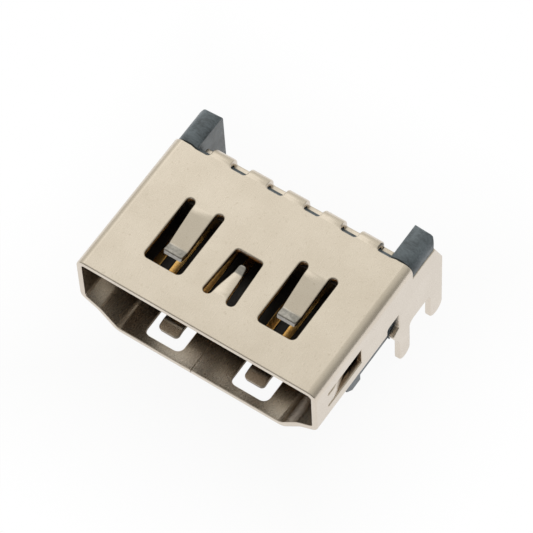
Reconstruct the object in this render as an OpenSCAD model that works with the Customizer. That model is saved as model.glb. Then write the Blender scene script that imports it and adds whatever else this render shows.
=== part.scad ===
// Right-angle digital video socket for a circuit board.
// One folded sheet shell, one moulded housing with its contact tongue, and two rows of contacts.
// Lengths are in millimetres. X runs across the mouth, Y from the mouth to the rear, Z up from the board.
// Depths are measured from the mouth and heights from its inside floor, unless they say otherwise.

/* [Mouth] */
// Inside width of the mouth
mouth_w = 14; // [13.6:0.1:15]
// Inside height of the mouth
mouth_h = 4.55; // [4.4:0.05:5]
// Width of the flat inside floor
floor_w = 10.1; // [9.6:0.1:10.6]
// Inside width where the floor's slants meet the shoulders
shoulder_w = 12.2; // [11.8:0.1:12.6]
// Height where the slants meet the shoulders
shoulder_h = 1.05; // [0.9:0.05:1.2]
// Height where the shoulders meet the side walls
wall_foot_h = 1.55; // [1.45:0.05:1.8]

/* [Sheet] */
// Thickness of the shell's sheet
sheet = 0.33; // [0.25:0.01:0.4]
// Inside radius of the two top bends
top_bend_r = 0.22; // [0.15:0.01:0.35]
// Inside radius of the bends from floor to slant
floor_bend_r = 0.45; // [0.3:0.05:0.7]
// Outside radius of the bends from slant to shoulder
shoulder_bend_r = 0.5; // [0.3:0.05:0.8]
// Inside radius of the bends from shoulder to wall
wall_bend_r = 0.22; // [0.15:0.01:0.3]
// Depth of the closed tube
tube_depth = 6.5; // [6.3:0.05:6.7]
// Depth of the top panel
roof_depth = 8.88; // [8.6:0.02:9.2]
// Sideways place of the seam in the floor
seam_x = -0.5; // [-0.8:0.05:0.8]
// Gap at the seam
seam_gap = 0.02; // [0.02:0.01:0.1]
// Depth of the middle of the seam's dovetail
lock_depth = 3.4; // [3:0.1:4]
// Width of the dovetail's neck
lock_w = 1; // [0.8:0.05:1.2]
// How far the dovetail reaches over the seam
lock_reach = 0.5; // [0.4:0.05:0.6]
// How much wider the dovetail is at each side of its end
lock_flare = 0.16; // [0.1:0.02:0.2]

/* [All springs] */
// Length of a spring that lies flat before it dips
spring_root = 0.3; // [0.2:0.05:0.5]
// Length of a spring's tip, which turns back
spring_tip = 0.6; // [0.4:0.05:0.7]
// How far a spring's tip turns back
spring_lift = 0.15; // [0.05:0.01:0.2]

/* [Top springs] */
// Distance between the middles of the two windows
top_win_pitch = 6.94; // [6.4:0.02:7.4]
// Width of a window
top_win_w = 2.3; // [2:0.05:2.6]
// Depth of a window's front edge
top_win_front = 2.08; // [1.8:0.02:2.4]
// Depth of a spring's root
top_win_rear = 5.97; // [5.6:0.02:6.1]
// Radius of a window's front corners
top_win_r = 0.28; // [0.1:0.02:0.4]
// Width of the slots beside a spring
top_slot_w = 0.5; // [0.4:0.02:0.6]
// Gap between a spring's tip and its window's front edge
top_tip_gap = 0.9; // [0.6:0.05:1.2]
// Width of a spring's tip
top_tip_w = 1.14; // [0.9:0.02:1.2]
// How far a spring dips into the mouth
top_dip = 0.36; // [0.2:0.02:0.5]

/* [Centre spring] */
// Width of the window's rear end
mid_rear_w = 1.64; // [1.4:0.02:1.8]
// Width of the window's front end
mid_front_w = 1.94; // [1.8:0.02:2.2]
// Depth of the spring's root
mid_win_front = 2.25; // [2:0.05:2.5]
// Depth of the window's rear edge
mid_win_rear = 5.04; // [4.6:0.02:5.4]
// Radius of the window's rear corners
mid_win_r = 0.2; // [0.1:0.02:0.3]
// Width of the slots beside the spring's root
mid_slot_w = 0.48; // [0.4:0.02:0.56]
// Width of the spring's tip
mid_tip_w = 0.4; // [0.3:0.02:0.5]
// Gap between the spring's tip and the window's rear edge
mid_tip_gap = 0.55; // [0.4:0.05:0.8]
// How far the spring dips into the mouth
mid_dip = 0.24; // [0.1:0.02:0.4]

/* [Side springs] */
// Depth of a side spring's root
side_win_front = 1.15; // [1:0.05:1.4]
// Depth of a side window's rear edge
side_win_rear = 4.12; // [3.8:0.02:4.5]
// Height of a side window's lower edge
side_win_low = 2.3; // [2.2:0.02:2.5]
// Height of a side window
side_win_h = 1.3; // [1.1:0.02:1.5]
// Width of the slots above and below a side spring
side_slot_w = 0.18; // [0.12:0.01:0.24]
// Gap between a side spring's tip and its window's rear edge
side_tip_gap = 0.6; // [0.4:0.05:0.7]
// Length of a side spring that lies flat in the wall
side_flat = 1.2; // [0.6:0.1:1.4]
// How far a side spring dips into the mouth
side_dip = 0.3; // [0.15:0.01:0.4]

/* [Floor springs] */
// Distance between the middles of the two floor windows
floor_win_pitch = 5.34; // [5:0.02:5.6]
// Width of a floor window
floor_win_w = 2.3; // [2:0.05:2.5]
// Depth of a floor window's front edge
floor_win_front = 0.52; // [0.4:0.02:0.8]
// Depth of a floor spring's root
floor_win_rear = 4.4; // [4:0.05:5]
// Radius of a floor window's front corners
floor_win_r = 0.4; // [0.2:0.05:0.5]
// Width of the slots beside a floor spring
floor_slot_w = 0.54; // [0.5:0.02:0.66]
// Gap between a floor spring's tip and its window's front edge
floor_tip_gap = 0.5; // [0.45:0.05:0.8]
// How far a floor spring rises into the mouth
floor_rise = 0.4; // [0.3:0.02:0.6]

/* [Rear cover] */
// Inside radius of the bend from the top panel to the rear cover
cover_bend_r = 0.22; // [0.15:0.01:0.3]
// Width of the rear cover
cover_w = 11.6; // [11:0.1:11.7]
// Height of the rear cover's lower edge
cover_low = 3.3; // [3.15:0.05:3.6]
// Number of bridges between the top panel and the rear cover
bridges = 5; // [3:1:5]
// Distance between the bridges
bridge_pitch = 2.26; // [2.2:0.02:2.4]
// Width of a bridge
bridge_w = 1.25; // [0.9:0.05:1.4]
// How far a bridge runs on behind the top panel before it bends
bridge_reach = 0.14; // [0.08:0.02:0.3]
// Radius of the corners beside a bridge
bridge_r = 0.2; // [0.1:0.02:0.25]
// How far the slots beside the bridges cut into the top panel
slot_cut = 0.08; // [0.04:0.01:0.12]
// Height of the slots' lower end
slot_low = 4.08; // [3.9:0.02:4.2]

/* [Side plates and legs] */
// Height of the upper edge of the plates behind the top panel
plate_h = 3.86; // [3.6:0.02:4]
// Depth of the plates' rear edge
plate_rear = 11.65; // [11.5:0.05:12]
// Height of the plates' rear edge, below its slanted corner
plate_rear_h = 2.2; // [1.5:0.1:2.5]
// Length of the plates' slanted corner along the depth
plate_slant = 0.7; // [0.4:0.05:1]
// Height of the top of the relief notch ahead of the front leg
relief_h = 2.1; // [2:0.05:2.3]
// Width of the relief notch
relief_w = 1.08; // [0.9:0.02:1.2]
// Width of the front leg
front_leg_w = 1; // [0.9:0.02:1.2]
// Width of the rear leg
rear_leg_w = 1.18; // [1:0.02:1.4]
// How far the front leg reaches below the board's face
leg_reach = 2.15; // [1.6:0.05:2.6]
// How much shorter the rear leg is
rear_leg_less = 0.2; // [0:0.05:0.4]
// Height of the edge between the legs above the board's face
leg_web_h = 0.58; // [0.4:0.02:0.8]
// Radius of the corners between the legs
leg_root_r = 0.35; // [0.2:0.05:0.4]
// Height of the spur's tip ahead of the front leg
spur_h = 0.42; // [0.3:0.02:0.6]
// How far the spur reaches ahead of the front leg
spur_reach = 0.6; // [0.4:0.02:0.7]

/* [Housing] */
// Height of the inside floor of the mouth above the board's face
floor_lift = 0.75; // [0.6:0.05:1]
// Play between the housing and the shell
housing_fit = 0.05; // [0.03:0.01:0.1]
// How far the housing's plug reaches into the tube
plug_length = 0.4; // [0.3:0.05:0.6]
// Depth of the tongue's front edge
tongue_front = 2.2; // [2:0.05:2.4]
// Width of the tongue
tongue_w = 10.9; // [10.4:0.1:11.3]
// Height of the tongue's lower face
tongue_low = 1.35; // [1.25:0.01:1.5]
// Thickness of the tongue
tongue_t = 1.55; // [1.3:0.05:1.7]
// Chamfer of the tongue's front edges
tongue_chamfer = 0.25; // [0.1:0.05:0.4]
// Gap between the rear cover and each ear
ear_clear = 0.15; // [0.05:0.01:0.2]
// Depth of the ears' rear face
ear_rear = 11.3; // [10.8:0.05:11.5]
// Height of the ears' crown
ear_top = 4.9; // [4.8:0.02:5]
// Radius of the ears' arched heads
ear_head_r = 0.8; // [0.6:0.05:0.9]
// Radius of the ears' rear upper edge
ear_rear_r = 0.45; // [0.2:0.05:0.6]
// Radius of the ears' outer rear corner, seen from above
ear_corner_r = 0.4; // [0.2:0.05:0.5]
// How far the rails under the shoulders stand in from the shell's sides
rail_inset = 0.49; // [0.4:0.01:0.8]
// Height of the rails' lower face above the board's face
rail_lift = 0.5; // [0.3:0.05:0.6]
// Depth of the front end of the rails' feet
foot_front = 3.9; // [3.6:0.05:4.2]
// Length of the feet
foot_length = 0.75; // [0.5:0.05:1.2]
// Depth of the front edge of the seat pad under the housing
seat_front = 7.2; // [7:0.05:7.4]
// Width of the seat pad
seat_w = 11.2; // [10:0.1:11.6]

/* [Contacts] */
// Distance between neighbouring contacts of both rows together
contact_pitch = 0.5; // [0.48:0.01:0.52]
// Width of a contact on the tongue
contact_w = 0.45; // [0.36:0.01:0.48]
// Thickness of a contact
contact_t = 0.2; // [0.15:0.01:0.25]
// How far a contact stands proud of the tongue
contact_proud = 0.05; // [0.02:0.01:0.1]
// Play beside a contact in its groove
contact_fit = 0.02; // [0.01:0.01:0.03]
// Distance from the tongue's front edge to the contacts' front ends
contact_inset = 0.4; // [0.3:0.05:0.7]
// Width of a contact's tail
tail_w = 0.3; // [0.22:0.01:0.34]
// Inside radius of a tail's two bends
tail_bend_r = 0.2; // [0.1:0.02:0.3]
// Distance from the housing's rear face to the rear face of the tails' upright part
tail_out = 0.94; // [0.8:0.02:1.2]
// Length of the tails' toes behind that face
tail_toe = 0.95; // [0.6:0.05:1.1]

/* [Hidden] */
$fn = 48;
contact_count = 19;

// Faces of the sheet and of the housing
half_w = mouth_w / 2;
board = -floor_lift;
cover_in = roof_depth + bridge_reach + cover_bend_r;
cover_top = mouth_h - cover_bend_r;
body_front = tube_depth + housing_fit;
body_rear = cover_in - housing_fit;
body_half = half_w - housing_fit;
body_top = mouth_h - housing_fit;
cavity_depth = tube_depth - plug_length;
tongue_top = tongue_low + tongue_t;
ear_in = cover_w / 2 + ear_clear;
contact_front = tongue_front + contact_inset;
tail_upright = body_rear + tail_out;
// Corners of the tube's outline on the inside of the sheet, anticlockwise, with the radii of their bends
inside = [
    [-floor_w / 2, 0], [floor_w / 2, 0], [shoulder_w / 2, shoulder_h], [half_w, wall_foot_h],
    [half_w, mouth_h], [-half_w, mouth_h], [-half_w, wall_foot_h], [-shoulder_w / 2, shoulder_h]
];
back_r = shoulder_bend_r + sheet;
inside_r = [floor_bend_r, floor_bend_r, back_r, wall_bend_r, top_bend_r, top_bend_r, wall_bend_r, back_r];
// Those corners and radii on the outside of the sheet
outside = [for (i = [0 : len(inside) - 1]) pushed(inside, i, sheet)];
outside_r = [for (i = [0 : len(inside) - 1]) inside_r[i] + (is_convex(inside, i) ? sheet : -sheet)];
floor_turn = atan2(shoulder_h, (shoulder_w - floor_w) / 2);
shoulder_turn = atan2(wall_foot_h - shoulder_h, (mouth_w - shoulder_w) / 2);
// The housing's seat on the board, whose middle is the part's origin
seat_length = body_rear - seat_front;
seat_y = seat_front + seat_length / 2;
// Extra length by which a cutter passes a face and a spring runs into its sheet
past = 0.1;
// Flat left between two rounded corners, so that their arcs don't meet
fine = 0.02;

function contact_name(n) = str("contact_", n < 10 ? "0" : "", n);

// Moves a shape from the mouth's own axes to the part's origin on the board.
module from_mouth() {
    translate([0, -seat_y, floor_lift])
        children();
}

// Draws a shape on both sides of the middle plane.
module both_sides() {
    children();
    mirror([1, 0, 0])
        children();
}

// Extrudes an outline drawn in X and Z along the depth.
module along_depth(from, to) {
    translate([0, to, 0])
        rotate([90, 0, 0])
            linear_extrude(to - from)
                children();
}

// Extrudes an outline drawn in Y and Z across the width.
module across(from, to) {
    translate([from, 0, 0])
        rotate([90, 0, 90])
            linear_extrude(to - from)
                children();
}

// A bend of a strip that runs along X with its path face up, by turn degrees up or down.
module bend(turn, radius, width, thick) {
    swing = abs(turn);
    centre = turn > 0 ? radius : -thick - radius;
    translate([0, width, centre])
        rotate([90, 0, 0])
            rotate(turn > 0 ? -90 : 90 - swing)
                rotate_extrude(angle = swing)
                    translate([radius, 0])
                        square([thick, width]);
}

// A folded strip: each step is a straight run, then a turn and that turn's inside radius.
module fold(steps, width, thick, at = 0) {
    if (at < len(steps)) {
        run = steps[at][0];
        turn = steps[at][1];
        radius = steps[at][2];
        arc = turn > 0 ? radius : radius + thick;
        lift = arc * (1 - cos(turn)) * sign(turn);
        if (run > 0)
            translate([0, 0, -thick])
                cube([run, width, thick]);
        translate([run, 0, 0]) {
            if (turn != 0)
                bend(turn, radius, width, thick);
            translate([arc * sin(abs(turn)), 0, lift])
                rotate([0, -turn, 0])
                    fold(steps, width, thick, at + 1);
        }
    }
}

// A cantilever spring along X from its root, tapered to its tip: it dips towards +Z, then turns back.
module spring(length, root_w, tip_w, dip, corner, root_run = spring_root, tip_run = spring_tip) {
    root = -2 * past;
    face = [[-past, 0], [root_run, 0], [length - tip_run, dip], [length, dip - spring_lift]];
    back = [for (i = [len(face) - 1 : -1 : 0]) face[i] - [0, sheet]];
    intersection() {
        rotate([90, 0, 0])
            linear_extrude(2 * root_w, center = true)
                polygon(concat(face, back));
        translate([0, 0, -2 * sheet])
            linear_extrude(dip + 3 * sheet)
                rounded_outline(
                    [[root, -root_w / 2], [length, -tip_w / 2], [length, tip_w / 2], [root, root_w / 2]],
                    [0, corner, corner, 0]
                );
    }
}

// A rectangle with round corners at its lower end, drawn from its lower left corner.
module round_foot(width, length, radius) {
    translate([radius, 0])
        square([width - 2 * radius, length]);
    translate([0, radius])
        square([width, length - radius]);
    for (x = [radius, width - radius])
        translate([x, radius])
            circle(radius);
}

// The material that rounds an inside corner whose sides run along +X and +Y.
module fillet(radius) {
    difference() {
        square(radius);
        translate([radius, radius])
            circle(radius);
    }
}

// The directions from a corner of an outline to the corners before and after it.
function to_last(points, i) = unit(points[(i + len(points) - 1) % len(points)] - points[i]);
function to_next(points, i) = unit(points[(i + 1) % len(points)] - points[i]);
function unit(v) = v / norm(v);
function is_convex(points, i) = cross(to_next(points, i), to_last(points, i)) > 0;
// Half of the angle between the two sides that meet at a corner.
function half_angle(points, i) = acos(to_last(points, i) * to_next(points, i)) / 2;
// A corner moved outwards with both its sides by the same distance.
function pushed(points, i, by) =
    points[i] + bisector(points, i) * (is_convex(points, i) ? -by : by) / sin(half_angle(points, i));
function bisector(points, i) = unit(to_last(points, i) + to_next(points, i));

// An outline whose corners are rounded, outside corners by added discs and inside ones by cut discs.
// A corner of no radius stays sharp.
module rounded_outline(points, radii) {
    corners = [0 : len(points) - 1];
    take = [for (i = corners) radii[i] / tan(half_angle(points, i))];
    discs = [for (i = corners) points[i] + bisector(points, i) * radii[i] / sin(half_angle(points, i))];
    difference() {
        union() {
            polygon([
                for (i = corners)
                    for (way = radii[i] > 0 ? [to_last(points, i), to_next(points, i)] : [[0, 0]])
                        points[i] + way * take[i]
            ]);
            for (i = corners)
                if (radii[i] > 0 && is_convex(points, i))
                    translate(discs[i])
                        circle(radii[i]);
        }
        for (i = corners)
            if (radii[i] > 0 && !is_convex(points, i))
                translate(discs[i])
                    circle(radii[i]);
    }
}

// The folded outline of the tube.
module ring() {
    difference() {
        rounded_outline(outside, outside_r);
        rounded_outline(inside, inside_r);
    }
}

// Outline of the seam's dovetail, grown by half of the gap or shrunk by it.
module lock_outline(grow) {
    neck = lock_w / 2 + grow;
    head = neck + lock_flare;
    polygon([
        [-seam_gap, -neck], [0, -neck], [lock_reach + grow, -head],
        [lock_reach + grow, head], [0, neck], [-seam_gap, neck]
    ]);
}

// The seam in the floor, straight but for its dovetail, drawn in X and Y.
module seam_outline() {
    half_gap = seam_gap / 2;
    difference() {
        union() {
            translate([seam_x - half_gap, -past])
                square([seam_gap, tube_depth + 2 * past]);
            translate([seam_x, lock_depth])
                lock_outline(half_gap);
        }
        translate([seam_x, lock_depth])
            lock_outline(-half_gap);
    }
}

// The closed tube of the mouth, open only at the seam in its floor.
module tube() {
    difference() {
        along_depth(0, tube_depth)
            ring();
        translate([0, 0, -sheet - past])
            linear_extrude(sheet + 2 * past)
                seam_outline();
    }
}

// The top panel behind the tube, with the upper part of its side walls.
module roof() {
    outer = half_w + sheet + past;
    along_depth(tube_depth, roof_depth)
        intersection() {
            ring();
            translate([-outer, plate_h])
                square([2 * outer, mouth_h]);
        }
}

// The rear cover with the bend that carries it.
module rear_cover() {
    translate([-cover_w / 2, roof_depth, mouth_h])
        rotate([180, 0, 90])
            fold([[bridge_reach, 90, cover_bend_r], [cover_top - cover_low, 0, 0]], cover_w, sheet);
}

// Slots cut in that bend, between which the bridges are left.
module cover_slots() {
    slot_w = bridge_pitch - bridge_w;
    slot_front = roof_depth - slot_cut;
    for (i = [0 : bridges])
        translate([(i - bridges / 2) * bridge_pitch - slot_w / 2, slot_front, slot_low])
            linear_extrude(mouth_h + sheet + past - slot_low)
                round_foot(slot_w, cover_in + sheet + past - slot_front, bridge_r);
}

// A side plate behind the tube with its two round-ended legs, drawn in Y and Z.
module plate_outline() {
    web = board + leg_web_h;
    tip = board - leg_reach;
    rear_tip = tip + rear_leg_less;
    front_y = tube_depth + relief_w;
    web_y = front_y + front_leg_w;
    rear_y = plate_rear - rear_leg_w;
    relief_r = 0.2;
    corner_r = 0.15;
    spur_rise = 0.35;
    spur_drop = 1.3;
    sweep_r = 0.8;
    front_tip_r = front_leg_w / 2 - fine;
    rear_tip_r = rear_leg_w / 2 - fine;
    rounded_outline([
        [tube_depth, plate_h], [tube_depth, relief_h], [front_y, relief_h], [front_y, spur_h + spur_rise],
        [front_y - spur_reach, spur_h], [front_y, spur_h - spur_drop], [front_y, tip], [web_y, tip],
        [web_y, web], [rear_y, web], [rear_y, rear_tip], [plate_rear, rear_tip],
        [plate_rear, plate_rear_h], [plate_rear - plate_slant, plate_h]
    ], [
        0, 0, relief_r, corner_r,
        corner_r, sweep_r, front_tip_r, front_tip_r,
        leg_root_r, leg_root_r, rear_tip_r, rear_tip_r,
        corner_r, corner_r
    ]);
    translate([tube_depth, relief_h])
        mirror([0, 1])
            fillet(relief_r);
}

// Windows cut in the folded tube for its springs.
module windows() {
    top_slots = [top_slot_w / 2, top_win_w - top_slot_w / 2];
    for (side = [-1, 1])
        translate([side * top_win_pitch / 2 - top_win_w / 2, top_win_front, mouth_h - past])
            linear_extrude(sheet + 2 * past) {
                round_foot(top_win_w, top_win_rear - top_win_front, top_win_r);
                for (x = top_slots)
                    translate([x, top_win_rear - top_win_front])
                        circle(top_slot_w / 2);
            }
    translate([0, 0, mouth_h - past])
        linear_extrude(sheet + 2 * past) {
            rounded_outline([
                [-mid_front_w / 2, mid_win_front], [mid_front_w / 2, mid_win_front],
                [mid_rear_w / 2, mid_win_rear], [-mid_rear_w / 2, mid_win_rear]
            ], [0, 0, mid_win_r, mid_win_r]);
            for (side = [-1, 1])
                translate([side * (mid_front_w - mid_slot_w) / 2, mid_win_front])
                    circle(mid_slot_w / 2);
        }
    both_sides()
        across(half_w - past, half_w + sheet + past) {
            translate([side_win_front, side_win_low])
                square([side_win_rear - side_win_front, side_win_h]);
            for (z = [side_slot_w / 2, side_win_h - side_slot_w / 2])
                translate([side_win_front, side_win_low + z])
                    circle(side_slot_w / 2);
        }
    for (side = [-1, 1])
        translate([side * floor_win_pitch / 2 - floor_win_w / 2, floor_win_front, -sheet - past])
            linear_extrude(sheet + 2 * past) {
                round_foot(floor_win_w, floor_win_rear - floor_win_front, floor_win_r);
                for (x = [floor_slot_w / 2, floor_win_w - floor_slot_w / 2])
                    translate([x, floor_win_rear - floor_win_front])
                        circle(floor_slot_w / 2);
            }
}

// The springs that stand in those windows.
module springs() {
    tip_r = 0.12;
    top_length = top_win_rear - top_win_front - top_tip_gap;
    mid_length = mid_win_rear - mid_win_front - mid_tip_gap;
    side_length = side_win_rear - side_win_front - side_tip_gap;
    floor_length = floor_win_rear - floor_win_front - floor_tip_gap;
    side_w = side_win_h - 2 * side_slot_w;
    leaf_w = floor_win_w - 2 * floor_slot_w;
    for (side = [-1, 1])
        translate([side * top_win_pitch / 2, top_win_rear, mouth_h])
            rotate([180, 0, -90])
                spring(top_length, top_win_w - 2 * top_slot_w, top_tip_w, top_dip, tip_r);
    translate([0, mid_win_front, mouth_h])
        rotate([180, 0, 90])
            spring(mid_length, mid_front_w - 2 * mid_slot_w, mid_tip_w, mid_dip, mid_tip_w / 2 - fine);
    both_sides()
        translate([half_w, side_win_front, side_win_low + side_win_h / 2])
            rotate([-90, 0, 90])
                spring(side_length, side_w, side_w, side_dip, tip_r, side_flat, spring_tip / 2);
    for (side = [-1, 1])
        translate([side * floor_win_pitch / 2, floor_win_rear, 0])
            rotate([0, 0, -90])
                spring(floor_length, leaf_w, leaf_w, floor_rise, 2 * tip_r);
}

// The shell is one piece of plated sheet.
module shell() {
    color("tan")
        from_mouth() {
            difference() {
                union() {
                    tube();
                    roof();
                    rear_cover();
                }
                windows();
                cover_slots();
            }
            springs();
            both_sides()
                across(half_w, half_w + sheet)
                    plate_outline();
        }
}

// Outline of the housing's body in X and Z up to the given height, which clears the shell's inside bends.
module body_outline(high) {
    low = board + rail_lift;
    corner = top_bend_r;
    polygon([
        [-body_half, low], [body_half, low], [body_half, high - corner], [body_half - corner, high],
        [corner - body_half, high], [-body_half, high - corner]
    ]);
}

// Outline of the part of the housing that closes the tube, which clears the tube's inside.
module plug_outline() {
    edge = [
        [floor_w / 2 - housing_fit, housing_fit],
        [shoulder_w / 2 - housing_fit, shoulder_h + housing_fit],
        [body_half, wall_foot_h + housing_fit],
        [body_half, body_top - top_bend_r],
        [body_half - top_bend_r, body_top]
    ];
    last = len(edge) - 1;
    polygon(concat(edge, [for (i = [last : -1 : 0]) [-edge[i][0], edge[i][1]]]));
}

// The contact tongue, with chamfered front edges.
module tongue() {
    across(-tongue_w / 2, tongue_w / 2)
        polygon([
            [body_front, tongue_low], [tongue_front + tongue_chamfer, tongue_low],
            [tongue_front, tongue_low + tongue_chamfer], [tongue_front, tongue_top - tongue_chamfer],
            [tongue_front + tongue_chamfer, tongue_top], [body_front, tongue_top]
        ]);
}

// An ear beside the contact tails: its arched head stands on the upper edge of the side plate.
module ear() {
    inner = ear_in;
    outer = half_w + sheet - housing_fit;
    front = roof_depth + housing_fit;
    head_low = ear_top - ear_head_r;
    intersection() {
        along_depth(front, ear_rear) {
            translate([inner, board])
                square([body_half - inner, plate_h - board]);
            translate([inner, plate_h])
                square([outer - inner, head_low - plate_h]);
            intersection() {
                translate([outer - ear_head_r, head_low])
                    circle(ear_head_r);
                translate([inner, plate_h])
                    square([outer - inner, ear_top - plate_h]);
            }
        }
        translate([0, 0, board])
            linear_extrude(ear_top - board)
                rounded_outline([
                    [inner, front], [outer, front], [outer, ear_rear], [inner, ear_rear]
                ], [0, 0, ear_corner_r, 0]);
        across(inner, outer) {
            translate([front, board])
                square([ear_rear - front, ear_top - ear_rear_r - board]);
            translate([front, board])
                square([ear_rear - ear_rear_r - front, ear_top - board]);
            translate([ear_rear - ear_rear_r, ear_top - ear_rear_r])
                circle(ear_rear_r);
        }
    }
}

// A rail under a shoulder of the tube, with the foot that stands on the board.
module rail() {
    outer = half_w + sheet - rail_inset;
    low = board + rail_lift;
    front = foot_front - rail_lift;
    rear = seat_front + rail_lift;
    // The tube's outside below its slant and shoulder, with the housing's play added
    slant = (shoulder_w - floor_w) / 2 / shoulder_h;
    slant_x = floor_w / 2 + (sheet + housing_fit) / sin(floor_turn);
    bend_z = shoulder_h - (sheet + housing_fit) / cos(shoulder_turn);
    bend_x = slant_x + bend_z * slant;
    outer_z = bend_z + (outer - bend_x) * tan(shoulder_turn);
    intersection() {
        along_depth(front, rear)
            polygon([
                [slant_x + low * slant, board], [outer, board], [outer, outer_z - housing_fit],
                [bend_x, bend_z - housing_fit], [slant_x + low * slant, low]
            ]);
        across(0, outer)
            polygon([
                [front, shoulder_h], [front, low], [foot_front, board], [foot_front + foot_length, board],
                [foot_front + foot_length, low], [rear, low], [rear, shoulder_h]
            ]);
    }
}

// The housing is one moulding: body, tongue, ears and rails, grooved for the contacts.
module housing() {
    color("dimgray")
        from_mouth()
            difference() {
                union() {
                    along_depth(cavity_depth, seat_front)
                        plug_outline();
                    along_depth(seat_front, roof_depth + bridge_reach)
                        body_outline(body_top);
                    along_depth(seat_front, body_rear)
                        body_outline(cover_top);
                    translate([-seat_w / 2, seat_front, board])
                        cube([seat_w, seat_length, rail_lift]);
                    tongue();
                    both_sides() {
                        ear();
                        rail();
                    }
                }
                for (n = [1 : contact_count])
                    contact_groove(n);
            }
}

// Odd contacts lie on the tongue and even ones under it, numbered from the right as seen from the mouth.
function contact_x(n) = ((contact_count + 1) / 2 - n) * contact_pitch;
function is_upper(n) = n % 2 == 1;
function contact_low(n) = is_upper(n) ? tongue_top + contact_proud - contact_t : tongue_low - contact_proud;

// The groove and slot that hold one contact.
module contact_groove(n) {
    low = contact_low(n) - (is_upper(n) ? 0 : contact_fit);
    translate([contact_x(n) - contact_w / 2 - contact_fit, contact_front - contact_fit, low])
        cube([contact_w + 2 * contact_fit, body_rear + past - contact_front, contact_t + contact_fit]);
}

// One contact: a straight blade, then a tail folded down to the board and out to the rear.
module contact(n) {
    low = contact_low(n);
    blade = body_rear - contact_front;
    turn = tail_bend_r + contact_t;
    tail_run = tail_upright - turn - body_rear;
    drop = low + contact_t - board - 2 * turn;
    toe = tail_toe - tail_bend_r;
    steps = [[tail_run, -90, tail_bend_r], [drop, 90, tail_bend_r], [toe, 0, 0]];
    color("goldenrod")
        from_mouth() {
            translate([contact_x(n) - contact_w / 2, contact_front, low])
                cube([contact_w, blade, contact_t]);
            translate([contact_x(n) + tail_w / 2, body_rear, low + contact_t])
                rotate([0, 0, 90])
                    fold(steps, tail_w, contact_t);
        }
}

shell();
housing();
for (n = [1 : contact_count])
    contact(n);
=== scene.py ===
import bpy
import bmesh
import math
from mathutils import Matrix, Vector


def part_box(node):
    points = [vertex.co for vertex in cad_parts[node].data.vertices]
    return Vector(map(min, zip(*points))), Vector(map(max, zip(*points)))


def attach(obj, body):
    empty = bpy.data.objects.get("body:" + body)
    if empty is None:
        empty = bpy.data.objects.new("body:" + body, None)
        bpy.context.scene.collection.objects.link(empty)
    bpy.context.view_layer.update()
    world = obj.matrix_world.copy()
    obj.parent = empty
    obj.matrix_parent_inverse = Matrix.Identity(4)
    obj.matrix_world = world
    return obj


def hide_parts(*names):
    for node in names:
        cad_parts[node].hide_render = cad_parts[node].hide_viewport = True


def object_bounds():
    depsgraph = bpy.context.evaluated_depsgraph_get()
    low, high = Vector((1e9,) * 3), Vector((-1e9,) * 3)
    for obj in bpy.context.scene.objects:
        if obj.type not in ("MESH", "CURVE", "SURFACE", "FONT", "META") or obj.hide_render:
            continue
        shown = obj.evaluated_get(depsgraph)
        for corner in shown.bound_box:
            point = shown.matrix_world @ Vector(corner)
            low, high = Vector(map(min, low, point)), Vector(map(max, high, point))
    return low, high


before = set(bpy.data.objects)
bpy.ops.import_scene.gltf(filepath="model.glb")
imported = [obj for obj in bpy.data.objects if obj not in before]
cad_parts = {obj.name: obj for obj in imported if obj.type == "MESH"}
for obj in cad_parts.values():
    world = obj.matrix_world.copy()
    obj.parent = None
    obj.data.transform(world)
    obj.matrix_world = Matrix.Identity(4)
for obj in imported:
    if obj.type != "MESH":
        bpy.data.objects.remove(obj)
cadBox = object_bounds()
print("frame loaded with", len(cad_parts), "nodes")

# Depths run back from the mouth and heights up from its inside floor, both in mm
roofTop = 4.88  # height of the shell's top face
mouth = {"y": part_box("shell")[0][1], "floorZ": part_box("shell")[1][2] - roofTop / 1000}


def toRow(x, y, z):
    return Vector((x / 1000, y / 1000 + mouth["y"], z / 1000 + mouth["floorZ"]))


def link(obj):
    bpy.context.scene.collection.objects.link(obj)
    return obj


# Camera, settled from the mouth's known size in the photograph
view = {
    "azimuth": 37.13, "elevation": 59.36, "roll": -3.56,  # degrees
    "distance": 200.0, "shift": (-0.754, -0.672), "target": (0.0, 5.0, 2.5),  # mm
    "scale": 19.555, "pixels": 533,  # pixels to a mm at the target, and across the picture
    "sensor": 36, "clip": (0.005, 20),
}


def makeCamera():
    az, el, roll = (math.radians(view[k]) for k in ("azimuth", "elevation", "roll"))
    back = Vector((math.sin(az) * math.cos(el), -math.cos(az) * math.cos(el), math.sin(el)))
    flat = Vector((math.cos(az), math.sin(az), 0))
    rise = back.cross(flat)
    right = flat * math.cos(roll) + rise * math.sin(roll)
    up = rise * math.cos(roll) - flat * math.sin(roll)
    eye = Vector(view["target"]) + back * view["distance"] - right * view["shift"][0] - up * view["shift"][1]
    cam = bpy.data.cameras.new("photoCamera")
    cam.sensor_width = view["sensor"]
    cam.lens = view["sensor"] * view["scale"] * view["distance"] / view["pixels"]
    cam.clip_start, cam.clip_end = view["clip"]
    obj = link(bpy.data.objects.new("photoCamera", cam))
    turn = Matrix((right, up, back)).transposed().to_4x4()
    obj.matrix_world = Matrix.Translation(toRow(*eye)) @ turn
    bpy.context.scene.camera = obj


makeCamera()
print("camera set")


def setStops(node, stops):
    spots = node.color_ramp.elements
    while len(spots) < len(stops):
        spots.new(0.5)
    for spot, (at, colour) in zip(spots, stops):
        spot.position = at
        spot.color = (*colour, 1)


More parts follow.
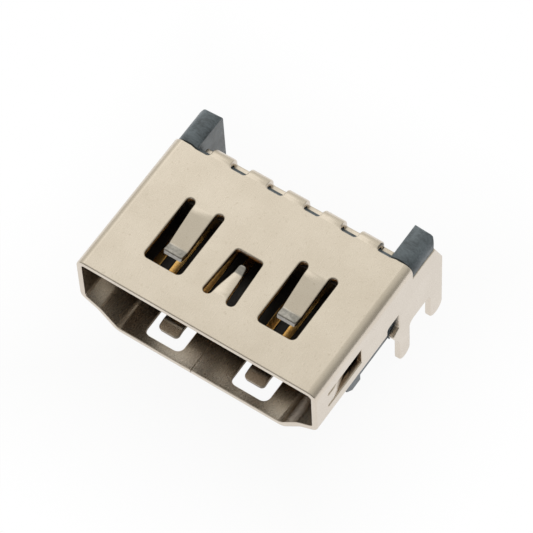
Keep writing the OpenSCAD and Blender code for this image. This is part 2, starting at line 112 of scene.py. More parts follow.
# Node helpers for the materials
class Nodes:
    def __init__(self, name):
        self.mat = bpy.data.materials.new(name)
        self.mat.use_nodes = True
        self.tree = self.mat.node_tree
        self.shader = self.tree.nodes["Principled BSDF"]
        scale = self.new("Mapping")
        scale.inputs["Scale"].default_value = (1000, 1000, 1000)  # textures are sized in mm
        self.join(self.new("TexCoord").outputs["Object"], scale.inputs["Vector"])
        self.mm = scale.outputs["Vector"]

    def new(self, kind):
        return self.tree.nodes.new("ShaderNode" + kind)

    def join(self, a, b):
        self.tree.links.new(a, b)

    def stretch(self, factors):
        node = self.new("Mapping")
        node.inputs["Scale"].default_value = factors
        self.join(self.mm, node.inputs["Vector"])
        return node.outputs["Vector"]

    def split(self, vector):
        node = self.new("SeparateXYZ")
        self.join(vector, node.inputs["Vector"])
        return node.outputs

    def layer(self, name):
        node = self.new("Attribute")
        node.attribute_name = name
        return node.outputs["Fac"]

    def noise(self, scale, detail=3.0, rough=0.55, vector=None):
        node = self.new("TexNoise")
        node.inputs["Scale"].default_value = scale
        node.inputs["Detail"].default_value = detail
        node.inputs["Roughness"].default_value = rough
        self.join(vector or self.mm, node.inputs["Vector"])
        return node.outputs["Fac"]

    def ramp(self, value, stops):
        node = self.new("ValToRGB")
        setStops(node, stops)
        self.join(value, node.inputs["Fac"])
        return node.outputs["Color"]

    def span(self, value, low, high, start=0.0, end=1.0, blend="LINEAR"):
        node = self.new("MapRange")
        node.interpolation_type = blend
        node.inputs["From Min"].default_value = start
        node.inputs["From Max"].default_value = end
        node.inputs["To Min"].default_value = low
        node.inputs["To Max"].default_value = high
        self.join(value, node.inputs["Value"])
        return node.outputs["Result"]

    def mix(self, factor, a, b):
        node = self.new("Mix")
        node.data_type = "RGBA"
        if isinstance(factor, float):
            node.inputs["Factor"].default_value = factor
        else:
            self.join(factor, node.inputs["Factor"])
        self.join(a, node.inputs["A"])
        self.join(b, node.inputs["B"])
        return node.outputs["Result"]

    def math(self, operation, a, b):
        node = self.new("Math")
        node.operation = operation
        self.join(a, node.inputs[0])
        if isinstance(b, float):
            node.inputs[1].default_value = b
        else:
            self.join(b, node.inputs[1])
        return node.outputs[0]

    def bump(self, layers):
        # Heights with a strength and a depth in mm each
        last = None
        for height, strength, distance in layers:
            node = self.new("Bump")
            node.inputs["Strength"].default_value = strength
            node.inputs["Distance"].default_value = distance / 1000
            self.join(height, node.inputs["Height"])
            if last:
                self.join(last, node.inputs["Normal"])
            last = node.outputs["Normal"]
        self.join(last, self.shader.inputs["Normal"])


# Satin nickel over steel: soft cloudy colour, fine rolled grain, a few darker rub marks, and painted shade inside the
# tube and on the top springs' turned tips. Texture scales are per mm
nickel = {
    "light": (0.73, 0.655, 0.565), "dark": (0.68, 0.605, 0.515), "rub": (0.60, 0.53, 0.44),
    "tipShadeDark": (0.27, 0.26, 0.245), "tipShadeLight": (0.42, 0.40, 0.37),  # painted shade on the turned tips of the top springs, darker and lighter
    "within": (0.25, 0.165, 0.095), "insideLitPatch": (0.64, 0.51, 0.375),  # painted shade inside the tube, with lighter painted reflection patches
    "insideShadeFrom": 0.2, "insideShadeTo": 1.8, "springShadeShare": 0.35,  # mm behind the mouth over which the painted inside shade sets in, and the springs' share of it
    "roughLow": 0.22, "roughHigh": 0.34,
    "cloud": 0.5, "speck": 7.0, "rubMarks": 40.0, "tipShading": 6.0, "pits": 16.0, "grain": (45, 5, 45),
}


def makeNickel():
    n, d = Nodes("satinNickel"), nickel
    cloud = n.noise(d["cloud"], 4.0)
    tone = n.ramp(cloud, [(0.3, d["dark"]), (0.65, d["light"])])
    speck = n.ramp(n.noise(d["speck"], 2.0), [(0.30, (1, 1, 1)), (0.36, (0, 0, 0))])
    rub = n.ramp(n.noise(d["rubMarks"]), [(0.0, d["rub"]), (1.0, d["dark"])])
    tipShadeTone = n.ramp(n.noise(d["tipShading"]), [(0.3, d["tipShadeDark"]), (0.7, d["tipShadeLight"])])
    insideShadeTone = n.ramp(cloud, [(0.36, d["within"]), (0.80, d["insideLitPatch"])])
    lip = mouth["y"] * 1000
    deep = n.span(n.split(n.mm)["Y"], 0.0, 1.0, lip + d["insideShadeFrom"], lip + d["insideShadeTo"])
    # Painted shade: the inside of the tube is coloured dark brown from just behind the mouth inwards, mottled with
    # lighter painted reflection patches, and the springs take part of it
    skin = n.mix(n.math("MULTIPLY", n.layer("within"), deep), n.mix(speck, tone, rub), insideShadeTone)
    # Painted shade: the turned tips of the top springs are coloured grey over the rest
    n.join(n.mix(n.layer("tipShade"), skin, tipShadeTone), n.shader.inputs["Base Color"])
    grain = n.noise(1.0, 3.0, 0.6, n.stretch(d["grain"]))
    n.join(n.span(grain, d["roughLow"], d["roughHigh"]), n.shader.inputs["Roughness"])
    n.shader.inputs["Metallic"].default_value = 1.0
    n.bump([(grain, 0.05, 0.02), (n.noise(d["pits"], 4.0), 0.06, 0.03)])
    return n.mat


# Dark slate moulding resin with a faint glass-fibre mottle, painted black as shade where it lies within the shell
resin = {
    "deep": (0.062, 0.078, 0.092), "pale": (0.235, 0.285, 0.335),
    # Painted shade within the shell: near black, mottled slightly lighter
    "inside": (0.007, 0.006, 0.005), "shadeMottle": (0.014, 0.011, 0.009),
    "roughLow": 0.30, "roughHigh": 0.46,
    "cloud": 1.2, "fibre": (3, 14, 14), "fleckShare": 0.45, "pits": 9.0,
    "ears": (5.8, 5.9), "low": (1.2, 1.8), "rear": (0.3, 0.6),  # where the painted black shade turns to slate, mm in the row's frame
}


def makeResin():
    n, d = Nodes("slateResin"), resin
    fibre = n.noise(1.0, 3.0, 0.6, n.stretch(d["fibre"]))
    cloud = n.noise(d["cloud"], 3.0)
    tone = n.ramp(cloud, [(0.34, d["deep"]), (0.64, d["pale"])])
    fleck = n.ramp(fibre, [(0.35, d["deep"]), (0.70, d["pale"])])
    skin = n.mix(d["fleckShare"], tone, fleck)
    place = n.split(n.mm)
    ears = n.span(n.math("ABSOLUTE", place["X"], 0.0), 0.0, 1.0, *d["ears"])
    low = n.span(place["Z"], 1.0, 0.0, *d["low"])
    rear = n.span(place["Y"], 0.0, 1.0, *d["rear"])
    outside = n.math("MAXIMUM", n.math("MAXIMUM", ears, low), rear)
    # Painted shade: the resin within the shell is coloured near black, and slate shows only on the ears, low down and
    # at the rear
    paintedShadeBlack = n.ramp(cloud, [(0.3, d["inside"]), (0.7, d["shadeMottle"])])
    n.join(n.mix(outside, paintedShadeBlack, skin), n.shader.inputs["Base Color"])
    n.join(n.span(fibre, d["roughLow"], d["roughHigh"]), n.shader.inputs["Roughness"])
    n.bump([(n.noise(d["pits"], 4.0), 0.18, 0.05)])
    return n.mat


# Gold over copper alloy, drawn along the contact
gold = {
    "light": (1.0, 0.64, 0.23), "dark": (0.92, 0.47, 0.12), "roughLow": 0.18, "roughHigh": 0.30,
    "cloud": 2.5, "drawn": (40, 4, 12),
}


def makeGold():
    n, d = Nodes("contactGold"), gold
    drawn = n.noise(1.0, 3.0, 0.6, n.stretch(d["drawn"]))
    tone = n.ramp(n.noise(d["cloud"], 3.0), [(0.3, d["dark"]), (0.65, d["light"])])
    n.join(tone, n.shader.inputs["Base Color"])
    n.join(n.span(drawn, d["roughLow"], d["roughHigh"]), n.shader.inputs["Roughness"])
    n.shader.inputs["Metallic"].default_value = 1.0
    n.bump([(drawn, 0.06, 0.02)])
    return n.mat


finish = {"shell": makeNickel(), "housing": makeResin(), "contact": makeGold()}
print("finishes made")

# Angles in degrees: within one flat, where an edge gets a round, where shading breaks
angles = {"flat": 1, "rounded": 28, "sharp": 40}


def finishMesh(bm, node, material):
    bmesh.ops.recalc_face_normals(bm, faces=bm.faces)
    mesh = bpy.data.meshes.new(node + "Dressed")
    for face in bm.faces:
        face.smooth = True
    for edge in bm.edges:
        edge.smooth = not (len(edge.link_faces) == 2 and edge.calc_face_angle(0) > math.radians(angles["sharp"]))
    bm.to_mesh(mesh)
    bm.free()
    mesh.materials.append(material)
    obj = link(bpy.data.objects.new(node + "Dressed", mesh))
    soft = obj.modifiers.new("evenShading", "WEIGHTED_NORMAL")
    soft.keep_sharp = True
    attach(obj, "root")
    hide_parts(node)
    return obj


def dress(node, width, material, reshape=None):
    # Copy of a node in mm: welded, flats joined up, reshaped, then its sharp edges rounded
    bm = bmesh.new()
    bm.from_mesh(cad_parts[node].data)
    bmesh.ops.scale(bm, vec=(1000, 1000, 1000), verts=bm.verts)
    bmesh.ops.remove_doubles(bm, verts=bm.verts, dist=0.0005)
    bmesh.ops.dissolve_limit(bm, angle_limit=math.radians(angles["flat"]), verts=bm.verts, edges=bm.edges)
    if reshape:
        reshape(bm)
    limit = math.radians(angles["rounded"])
    sharp = [e for e in bm.edges if len(e.link_faces) == 2 and e.calc_face_angle(0) > limit]
    bmesh.ops.bevel(bm, geom=sharp, offset=width, offset_type="OFFSET", segments=2, profile=0.5,
                    affect="EDGES", clamp_overlap=True)
    bmesh.ops.scale(bm, vec=(0.001, 0.001, 0.001), verts=bm.verts)
    return finishMesh(bm, node, material)


# Housing: round of its edges, then the ears' rear ends, which draw back on both sides of their crowns
housing = {
    "edge": 0.06,
    "earFrom": 3.8, "earInner": 5.9, "crown": 6.48, "headHalf": 0.8, "run": 0.6, "outDraw": 0.28, "inDraw": 0.12,
}


def drawBackEars(bm):
    d = housing
    low = mouth["floorZ"] * 1000 + d["earFrom"]
    heads = [v for v in bm.verts if abs(v.co.x) > d["earInner"] and v.co.z > low]
    start = max(v.co.y for v in heads) - d["run"]
    for v in heads:
        share = (abs(v.co.x) - d["crown"]) / d["headHalf"]
        draw = d["outDraw"] if share > 0 else d["inDraw"]
        v.co.y -= draw * share ** 2 * max(0, (v.co.y - start) / d["run"])


contact = {"edge": 0.03}

# Shell, cut flat from one sheet and folded. The sheet is measured on its inside face: s from the middle of the top
# round to the floor, t back from the mouth
shell = {
    "sheet": 0.33,
    "mouthW": 14.0, "mouthH": 4.55, "floorW": 10.1, "shoulderW": 12.2, "shoulderH": 1.05, "wallFootH": 1.55,
    "topR": 0.22, "wallR": 0.22, "shoulderR": 0.5, "floorR": 0.45, "tubeDepth": 6.5, "roofDepth": 8.88,
    "seamX": -0.5, "seamGap": 0.05, "seamR": 0.1, "seamSharp": 0.6,
    "lockDepth": 3.4, "lockW": 1.0, "lockReach": 0.5, "lockFlare": 0.16,
    "coverW": 11.6, "coverR": 0.22, "coverLow": 3.3, "coverCornerR": 0.1,
    "bridges": 5, "bridgePitch": 2.26, "bridgeW": 1.25, "bridgeReach": 0.14,
    "slotCut": 0.08, "slotLow": 4.08, "slotR": 0.2, "slotLowR": 0.06, "endOut": 0.15, "endIn": 0.2,
    "plateH": 3.86, "plateRear": 11.65, "plateRearH": 2.2, "plateSlant": 0.7, "plateR": 0.15,
    "reliefH": 2.1, "reliefW": 1.08, "reliefR": 0.2,
    "board": -0.75, "legReach": 2.15, "rearLess": 0.2, "frontLegW": 1.0, "rearLegW": 1.18, "legEase": 0.02,
    "legWeb": 0.58, "webR": 0.35,
    "spurH": 0.42, "spurReach": 0.6, "spurRise": 0.35, "spurDrop": 1.3, "spurR": 0.15, "spurBackR": 0.8,
    "rollOver": 0.075, "burr": 0.035, "leadIn": 0.05,
    "bendParts": (8, 6, 2, 5), "coverParts": 6,
}

# Springs by kind: middles across the sheet, depths of root and tip, half widths at both, and the dip inwards. Then
# their windows: half widths at the far end and the root, depth of the far end, slot beside the spring, corner radii
springKinds = {
    "top": {"zone": "roof", "at": (-3.47, 3.47), "root": 5.97, "tip": 2.98, "halfRoot": 0.65, "halfTip": 0.57,
            "dip": 0.36, "farHalf": 1.15, "rootHalf": 1.15, "far": 2.08, "slot": 0.5, "farR": 0.28, "tipR": 0.12},
    "centre": {"zone": "roof", "at": (0.0,), "root": 2.25, "tip": 4.49, "halfRoot": 0.49, "halfTip": 0.2,
               "dip": 0.24, "farHalf": 0.82, "rootHalf": 0.97, "far": 5.04, "slot": 0.48, "farR": 0.2, "tipR": 0.17},
    "side": {"zone": "wall", "at": (-2.95, 2.95), "root": 1.15, "tip": 3.52, "halfRoot": 0.47, "halfTip": 0.47,
             "dip": 0.42, "farHalf": 0.65, "rootHalf": 0.65, "far": 4.12, "slot": 0.18, "farR": 0.06, "tipR": 0.12},
    "floor": {"zone": "floor", "at": (-2.67, 2.67), "root": 4.4, "tip": 1.02, "halfRoot": 0.61, "halfTip": 0.61,
              "dip": 0.4, "farHalf": 1.15, "rootHalf": 1.15, "far": 0.52, "slot": 0.54, "farR": 0.4, "tipR": 0.24},
}
springs = [dict(kind, at=at) for kind in springKinds.values() for at in kind["at"]]
# Length that lies flat, length of the tip that turns back, by how much it turns, and how softly both bends run
springBend = {"roof": (0.3, 0.6, 0.15), "wall": (0.5, 0.3, 0.15), "floor": (0.3, 0.6, 0.15), "soft": 0.14}


def signOf(value):
    return 1 if value >= 0 else -1


def wayOf(spring):
    return signOf(spring["tip"] - spring["root"])


def sectionSteps():
    # One half of the tube's outline from the middle of its top: straight run, turn, radius on the inside face
    d = shell
    ledge = Vector((d["mouthW"] - d["shoulderW"], 2 * (d["wallFootH"] - d["shoulderH"]))) / 2
    slant = Vector((d["shoulderW"] - d["floorW"], 2 * d["shoulderH"])) / 2
    ledgeTurn, slantTurn = math.atan2(ledge.y, ledge.x), math.atan2(slant.y, slant.x)
    wallTurn, backTurn = math.pi / 2 - ledgeTurn, slantTurn - ledgeTurn
    backR = d["shoulderR"] + d["sheet"]
    wallTake, backTake = d["wallR"] * math.tan(wallTurn / 2), backR * math.tan(backTurn / 2)
    floorTake = d["floorR"] * math.tan(slantTurn / 2)
    return [(d["mouthW"] / 2 - d["topR"], math.pi / 2, d["topR"]),
            (d["mouthH"] - d["wallFootH"] - d["topR"] - wallTake, wallTurn, d["wallR"]),
            (ledge.length - wallTake - backTake, -backTurn, backR),
            (slant.length - backTake - floorTake, slantTurn, d["floorR"]),
            (d["floorW"], 0, 1)]


steps = sectionSteps()
bends = []  # where each bend starts and ends along the sheet
reach = 0.0
for run, turn, radius in steps[:-1]:
    bends.append((reach + run, reach + run + abs(turn) * radius))
    reach = bends[-1][1]
roofEdge = bends[0][0]
wallStart, wallTop = bends[0][1], shell["mouthH"] - shell["topR"]
floorStart = bends[3][1]
floorMiddle = floorStart + shell["floorW"] / 2 - shell["floorR"] * math.tan(steps[3][1] / 2)

# Rear cover: where its bend starts and ends along the sheet, and its slots' ends
bendStart = shell["roofDepth"] + shell["bridgeReach"]
bendEnd = bendStart + shell["coverR"] * math.pi / 2
slotFront = shell["roofDepth"] - shell["slotCut"]
slotRear = bendEnd + shell["mouthH"] - shell["coverR"] - shell["slotLow"]
slotHalf = (shell["bridgePitch"] - shell["bridgeW"]) / 2


def sectionAt(s):
    # Point (x, z) and outward normal on the inside face of the tube
    side, left = signOf(s), abs(s)
    spot, heading = Vector((0, shell["mouthH"])), 0.0
    for run, turn, radius in steps:
        ahead = Vector((math.cos(heading), math.sin(heading)))
        if left <= run:
            spot = spot + ahead * left
            break
        spot, left = spot + ahead * run, left - run
        swing = min(left / radius, abs(turn))
        way = 1 if turn > 0 else -1
        centre = spot + Vector((ahead.y, -ahead.x)) * radius * way
        arm = spot - centre
        c, k = math.cos(swing), math.sin(swing) * -way
        spot = centre + Vector((arm.x * c - arm.y * k, arm.x * k + arm.y * c))
        heading -= swing * way
        left -= swing * radius
        if left <= 1e-9:
            break
    return spot.x * side, spot.y, -math.sin(heading) * side, math.cos(heading)


def alongSheet(zone, value):
    # Place on the sheet of a sideways place on the top or floor, or of a height on a wall (sign gives the side)
    if zone == "roof":
        return value
    start = wallStart + wallTop if zone == "wall" else floorMiddle
    return signOf(value) * (start - abs(value))


def rounded(corners, perTurn=6):
    # Closed loop with each corner (s, t, radius) rounded by an arc
    loop = []
    count = len(corners)
    for i, (s, t, radius) in enumerate(corners):
        at = Vector((s, t))
        before = (Vector(corners[i - 1][:2]) - at).normalized()
        after = (Vector(corners[(i + 1) % count][:2]) - at).normalized()
        half = before.angle(after) / 2
        if radius <= 0 or half > 1.55:  # no round, or nearly straight
            loop.append(at)
            continue
        centre = at + (before + after).normalized() * radius / math.sin(half)
        start = at + before * radius / math.tan(half) - centre
        end = at + after * radius / math.tan(half) - centre
        swing = start.angle_signed(end)  # clockwise is positive here
        parts = max(2, round(perTurn * abs(swing) / (math.pi / 2)))
        for k in range(parts + 1):
            a = -swing * k / parts
            loop.append(centre + Vector((start.x * math.cos(a) - start.y * math.sin(a),
                                         start.x * math.sin(a) + start.y * math.cos(a))))
    return loop


def windowLoop(p):
    # The slot round a spring: three sides of a window, and two fingers back to the root
    side, mid = signOf(p["at"]), abs(p["at"])
    finger = p["root"] - wayOf(p) * p["slot"] / 2
    fingerR = p["slot"] / 2 - 0.002  # just short of a full half round
    places = [(mid - p["farHalf"], p["far"], p["farR"]), (mid + p["farHalf"], p["far"], p["farR"]),
              (mid + p["rootHalf"], finger, fingerR), (mid + p["halfRoot"], finger, fingerR),
              (mid + p["halfTip"], p["tip"], p["tipR"]), (mid - p["halfTip"], p["tip"], p["tipR"]),
              (mid - p["halfRoot"], finger, fingerR), (mid - p["rootHalf"], finger, fingerR)]
    return rounded([(alongSheet(p["zone"], side * a), t, r) for a, t, r in places])


def plateCorners():
    # Side plate behind the tube, from the relief notch round both legs to the upper edge: (height, depth, radius)
    d = shell
    front, rear = d["tubeDepth"] + d["reliefW"], d["plateRear"] - d["rearLegW"]
    behind = front + d["frontLegW"]
    web, low = d["board"] + d["legWeb"], d["board"] - d["legReach"]
    rearLow = low + d["rearLess"]
    frontR, rearR = d["frontLegW"] / 2 - d["legEase"], d["rearLegW"] / 2 - d["legEase"]
    return [(d["reliefH"], d["tubeDepth"], d["reliefR"]), (d["reliefH"], front, d["reliefR"]),
            (d["spurH"] + d["spurRise"], front, d["spurR"]), (d["spurH"], front - d["spurReach"], d["spurR"]),
            (d["spurH"] - d["spurDrop"], front, d["spurBackR"]),
            (low, front, frontR), (low, behind, frontR), (web, behind, d["webR"]), (web, rear, d["webR"]),
            (rearLow, rear, rearR), (rearLow, d["plateRear"], rearR),
            (d["plateRearH"], d["plateRear"], d["plateR"]),
            (d["plateH"], d["plateRear"] - d["plateSlant"], d["plateR"]), (d["plateH"], d["roofDepth"], 0)]


def coverCorners():
    # Right half of the rear cover, from the plate past the outermost slot
    d = shell
    half, endSlot = d["coverW"] / 2, d["bridges"] / 2 * d["bridgePitch"]
    coverEnd = bendEnd + d["mouthH"] - d["coverR"] - d["coverLow"]
    return [(endSlot + slotHalf + d["endOut"], d["roofDepth"], 0), (endSlot + slotHalf - d["endIn"], slotFront, 0),
            (endSlot - slotHalf, slotFront, d["slotR"]), (endSlot - slotHalf, slotRear, d["slotLowR"]),
            (half, slotRear, d["coverCornerR"]), (half, coverEnd, d["coverCornerR"])]


def seamCorners(side, grow):
    # One edge of the floor seam round its dovetail lock
    d = shell
    neck, head = d["lockW"] / 2, d["lockW"] / 2 + d["lockFlare"]
    x0, x1 = d["seamX"] + side * d["seamGap"] / 2, d["seamX"] + d["lockReach"] + grow
    mid = d["lockDepth"]
    spots = [(x0, mid - neck - grow), (x1, mid - head - grow), (x1, mid + head + grow), (x0, mid + neck + grow)]
    return [(side * floorMiddle - x, t, d["seamR"]) for x, t in spots]


def outerLoop():
    d = shell
    gap = d["seamGap"] / 2
    rightEnd, leftEnd = floorMiddle - d["seamX"] - gap, -floorMiddle - d["seamX"] + gap
    plate = [(wallStart + wallTop - z, t, r) for z, t, r in plateCorners()]
    rear = plate + coverCorners()
    corners = [(leftEnd, 0, 0), (rightEnd, 0, 0)] + seamCorners(1, gap) + [(rightEnd, d["tubeDepth"], 0)]
    corners += rear + [(-s, t, r) for s, t, r in rear[::-1]]
    corners += [(leftEnd, d["tubeDepth"], 0)] + seamCorners(-1, -gap)[::-1]
    return rounded(corners)


def blankLoops():
    # The blank's edge, the springs' windows and the slots between the bridges
    d = shell
    loops = [outerLoop()] + [windowLoop(p) for p in springs]
    for i in range(1, d["bridges"]):
        x = (i - d["bridges"] / 2) * d["bridgePitch"]
        loops.append(rounded([(x - slotHalf, slotFront, d["slotR"]), (x + slotHalf, slotFront, d["slotR"]),
                              (x + slotHalf, slotRear, d["slotLowR"]), (x - slotHalf, slotRear, d["slotLowR"])]))
    return loops


def cutLine(bm, line, value, keep):
    # Cuts the faces that keep picks along one line of the sheet, and marks the cut as a fold
    faces = [f for f in bm.faces if keep(f.calc_center_median())]
    geom = dict.fromkeys(faces)
    for f in faces:
        geom.update(dict.fromkeys(f.edges))
        geom.update(dict.fromkeys(f.verts))
    normal = Vector((1, 0, 0)) if line == "s" else Vector((0, 1, 0))
    done = bmesh.ops.bisect_plane(bm, geom=list(geom), dist=1e-5, plane_co=normal * value, plane_no=normal)
    for item in done["geom_cut"]:
        if isinstance(item, bmesh.types.BMEdge):
            item.seam = True


def flatSheet():
    # The stamped blank as flat faces in (s, t), cut by the lines along which it folds
    tube, roof, coverParts = shell["tubeDepth"], shell["roofDepth"], shell["coverParts"]
    bm = bmesh.new()
    for loop in blankLoops():
        verts = [bm.verts.new((p.x, p.y, 0)) for p in loop]
        for a, b in zip(verts, verts[1:] + verts[:1]):
            bm.edges.new((a, b))
    bmesh.ops.triangle_fill(bm, edges=bm.edges[:], use_beauty=True, use_dissolve=False)
    for t in (tube, roof):
        cutLine(bm, "t", t, lambda c: True)
    for (start, end), parts, depth in zip(bends, shell["bendParts"], (roof, tube, tube, tube)):
        for side in (-1, 1):
            for k in range(parts + 1):
                cutLine(bm, "s", side * (start + (end - start) * k / parts), lambda c: c.y < depth)
    zones = {"roof": lambda c: abs(c.x) < roofEdge,
             "wall": lambda c: wallStart < abs(c.x) < bends[1][0] and c.y < tube,
             "floor": lambda c: abs(c.x) > floorStart and c.y < tube}
    for p in springs:
        zone = p["zone"]
        cutLine(bm, "t", p["root"], zones[zone])
        at = alongSheet(zone, p["at"])
        low, high = sorted((p["root"], p["tip"]))
        flatRun, tipRun = springBend[zone][:2]
        for u in (flatRun, high - low - tipRun):
            for k in (-1, -0.5, 0, 0.5, 1):
                cutLine(bm, "t", p["root"] + wayOf(p) * (u + k * springBend["soft"]),
                        lambda c: abs(c.x - at) < p["halfRoot"] and low < c.y < high)
    for k in range(coverParts + 1):
        cutLine(bm, "t", bendStart + (bendEnd - bendStart) * k / coverParts,
                lambda c: abs(c.x) < roofEdge and c.y > roof)
    bmesh.ops.dissolve_limit(bm, angle_limit=0.01, verts=bm.verts, edges=bm.edges, delimit={"SEAM"})
    return bm


def springAt(s, t):
    # How far the sheet dips inwards at a place, and the slope of that along the depth
    for p in springs:
        zone, way = p["zone"], wayOf(p)
        u, length = (t - p["root"]) * way, abs(p["tip"] - p["root"])
        if abs(s - alongSheet(zone, p["at"])) < p["halfRoot"] + 0.01 and -0.001 < u < length + 0.01:
            first, tipRun, lift = springBend[zone]
            last = length - tipRun
            down, up = p["dip"] / (last - first), -lift / tipRun
            depth = slope = 0.0
            for start, rate in ((first, down), (last, up - down)):
                x, w = u - start, springBend["soft"]
                if x > w:
                    depth, slope = depth + rate * x, slope + rate
                elif x > -w:
                    depth, slope = depth + rate * (x + w) ** 2 / (4 * w), slope + rate * (x + w) / (2 * w)
            return depth, slope * way
    return 0.0, 0.0


def foldedAt(s, t):
    # Point on the inside face of the folded sheet, and its outward normal
    d = shell
    if abs(s) < roofEdge and t > bendStart:
        swing = min((t - bendStart) / d["coverR"], math.pi / 2)
        point = Vector((s, bendStart + d["coverR"] * math.sin(swing),
                        d["mouthH"] - d["coverR"] * (1 - math.cos(swing)) - max(0, t - bendEnd)))
        return point, Vector((0, math.sin(swing), math.cos(swing)))
    if abs(s) > wallStart and t > d["tubeDepth"] + 1e-4:
        side = signOf(s)
        return Vector((side * d["mouthW"] / 2, t, wallTop - abs(s) + wallStart)), Vector((side, 0, 0))
    x, z, nx, nz = sectionAt(s)
    depth, slope = springAt(s, t)
    normal = Vector((nx, 0, nz))
    return Vector((x, t, z)) - normal * depth, (normal + Vector((0, slope, 0))).normalized()


def tipShade(s, t):
    # How far a place of the sheet lies on the turned tip of a top spring, where shade is painted
    tipRun, soft = springBend["roof"][1], springBend["soft"]
    for p in springs:
        left = (p["tip"] - t) * wayOf(p)
        if p["zone"] == "roof" and abs(s - p["at"]) < p["halfRoot"] and -0.01 < left < tipRun + soft:
            return min(1.0, (tipRun + soft - left) / (2 * soft))
    return 0.0


def insideShadeShare(s, t):
    # Share of painted shade on the tube's inside
    if t >= shell["tubeDepth"]:
        return 0.0
    return nickel["springShadeShare"] if springAt(s, t)[0] > 0 else 1.0


def foldShell():
    flat = flatSheet()
    bm = bmesh.new()
    tipShading, within = (bm.verts.layers.float.new(layer) for layer in ("tipShade", "within"))
    inner, outer = {}, {}
    for v in flat.verts:
        s, t = v.co.x, v.co.y
        point, normal = foldedAt(s, t)
        inner[v] = bm.verts.new(point)
        outer[v] = bm.verts.new(point + normal * shell["sheet"])
        # Shares of painted shade: on the turned tips of the top springs, and inside the tube
        inner[v][tipShading] = outer[v][tipShading] = tipShade(s, t)
        inner[v][within] = insideShadeShare(s, t)
    for f in flat.faces:
        bm.faces.new([outer[v] for v in f.verts])
        bm.faces.new([inner[v] for v in reversed(f.verts)])
    rolled, burred, lip = [], [], []
    for e in flat.edges:
        if len(e.link_faces) != 1:
            continue
        a, b = e.verts
        bm.faces.new((outer[a], outer[b], inner[b], inner[a]))
        atMouth = max(a.co.y, b.co.y) < 1e-4
        if atMouth or min(abs(a.co.x), abs(b.co.x)) < floorMiddle - shell["seamSharp"]:
            rolled.append(bm.edges.get((outer[a], outer[b])))  # the seam stays sharp underneath
        (lip if atMouth else burred).append(bm.edges.get((inner[a], inner[b])))
    flat.free()
    bmesh.ops.recalc_face_normals(bm, faces=bm.faces)
    for edges, width, parts in ((rolled, shell["rollOver"], 3), (lip, shell["leadIn"], 3), (burred, shell["burr"], 1)):
        bmesh.ops.bevel(bm, geom=[e for e in edges if e.is_valid], offset=width, offset_type="OFFSET", segments=parts,
                        profile=0.5, affect="EDGES", clamp_overlap=False, loop_slide=False)
    for v in bm.verts:
        v.co = toRow(*v.co)
    return finishMesh(bm, "shell", finish["shell"])


dress("housing", housing["edge"], finish["housing"], drawBackEars)
for name in sorted(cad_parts):
    if name.startswith("contact"):
        dress(name, contact["edge"], finish["contact"])
foldShell()
print("pieces dressed")

# Floor, lamps and world
studio = {
    "floorSize": 1.2, "floorDark": (0.86, 0.86, 0.86), "floorLight": (0.9, 0.9, 0.9),
    "glowNear": 0.93, "glowReach": 10.0,  # glow's share beside the part, and mm away where it is whole
    "shadeInset": 2.0, "shadeFrom": -1.0, "shadeTo": 0.6,  # reflections see the floor dark up to here, mm
    "side": (-0.40, 0.65, 0.65),  # where the sky is brightest
    "sky": [(0.0, 0.05), (0.29, 0.08), (0.50, 0.36), (0.68, 0.44), (0.81, 0.62), (0.91, 0.71), (0.97, 0.77),
            (1.0, 0.84)],  # nearness to that side, brightness
    "tint": (1.0, 0.985, 0.90),
    "lamps": {"left": {"at": (-0.28, 0.30, 0.44), "size": 0.30, "watts": 0.12}},
}


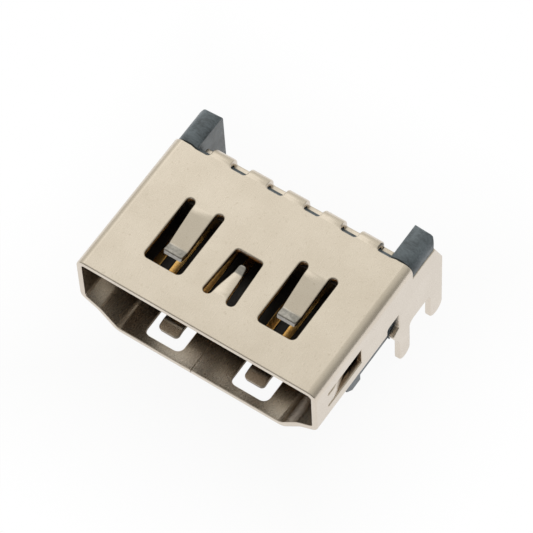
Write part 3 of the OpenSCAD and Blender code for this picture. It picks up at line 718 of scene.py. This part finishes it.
def makeFloor():
    d, n = studio, Nodes("paleFloor")
    wide, z = d["floorSize"] / 2, cadBox[0][2]
    mesh = bpy.data.meshes.new("floor")
    mesh.from_pydata([(-wide, -wide, z), (wide, -wide, z), (wide, wide, z), (-wide, wide, z)], [], [(0, 1, 2, 3)])
    floor = link(bpy.data.objects.new("floor", mesh))
    n.shader.inputs["Roughness"].default_value = 0.9
    tone = n.ramp(n.noise(0.02, 2.0), [(0.0, d["floorDark"]), (1.0, d["floorLight"])])
    n.join(tone, n.shader.inputs["Base Color"])
    # How far a place of the floor lies outside the part's footprint
    low, high = (Vector(c) * 1000 for c in cadBox)
    middle, half = (low + high) / 2, (high - low) / 2
    spot = n.new("Mapping")
    spot.inputs["Location"].default_value = (-middle.x, -middle.y, 0)
    n.join(n.mm, spot.inputs["Vector"])
    apart = n.new("VectorMath")
    apart.operation = "ABSOLUTE"
    n.join(spot.outputs["Vector"], apart.inputs[0])
    past = n.new("VectorMath")
    past.operation = "SUBTRACT"
    past.inputs[1].default_value = (half.x - d["shadeInset"], half.y, 0)
    n.join(apart.outputs["Vector"], past.inputs[0])
    away = n.split(past.outputs["Vector"])
    farther = n.math("MAXIMUM", away["X"], away["Y"])
    clear = n.span(farther, 0.0, 1.0, d["shadeFrom"], d["shadeTo"], "SMOOTHSTEP")
    # The camera sees the floor glow, and reflections see it shaded under the part
    glow = n.new("Emission")
    glow.inputs["Strength"].default_value = 1.0
    path = n.new("LightPath")
    mirrored = n.math("MULTIPLY", path.outputs["Is Glossy Ray"], clear)
    seen = n.math("MAXIMUM", path.outputs["Is Camera Ray"], mirrored)
    share = n.span(farther, d["glowNear"], 1.0, 0.0, d["glowReach"])  # the rest keeps the shadow
    blend = n.new("MixShader")
    n.join(n.math("MULTIPLY", seen, share), blend.inputs["Fac"])
    n.join(n.shader.outputs[0], blend.inputs[1])
    n.join(glow.outputs[0], blend.inputs[2])
    n.join(blend.outputs[0], n.tree.nodes["Material Output"].inputs["Surface"])
    mesh.materials.append(n.mat)


def makeWorld():
    world = bpy.data.worlds.new("studioWorld")
    bpy.context.scene.world = world
    world.use_nodes = True
    tree = world.node_tree
    sky = tree.nodes["Background"]
    coords = tree.nodes.new("ShaderNodeTexCoord")
    near = tree.nodes.new("ShaderNodeVectorMath")
    near.operation = "DOT_PRODUCT"
    near.inputs[1].default_value = studio["side"]
    level = tree.nodes.new("ShaderNodeMapRange")
    level.inputs["From Min"].default_value = -1.0
    ramp = tree.nodes.new("ShaderNodeValToRGB")
    setStops(ramp, [(at, [power * part for part in studio["tint"]]) for at, power in studio["sky"]])
    white = tree.nodes.new("ShaderNodeBackground")
    white.inputs["Color"].default_value = (1, 1, 1, 1)
    path = tree.nodes.new("ShaderNodeLightPath")
    blend = tree.nodes.new("ShaderNodeMixShader")
    for a, b in ((coords.outputs["Generated"], near.inputs[0]), (near.outputs["Value"], level.inputs["Value"]),
                 (level.outputs["Result"], ramp.inputs["Fac"]), (ramp.outputs["Color"], sky.inputs["Color"]),
                 (path.outputs["Is Camera Ray"], blend.inputs["Fac"]), (sky.outputs[0], blend.inputs[1]),
                 (white.outputs[0], blend.inputs[2]),
                 (blend.outputs[0], tree.nodes["World Output"].inputs["Surface"])):
        tree.links.new(a, b)


def makeLamps():
    for name, d in studio["lamps"].items():
        data = bpy.data.lights.new(name, "AREA")
        data.size = d["size"]
        data.energy = d["watts"]
        lamp = link(bpy.data.objects.new(name, data))
        lamp.location = d["at"]
        lamp.rotation_euler = Vector(d["at"]).to_track_quat("Z", "Y").to_euler()


makeFloor()
makeWorld()
makeLamps()
bpy.context.scene.view_settings.view_transform = "Standard"
print("studio lit")
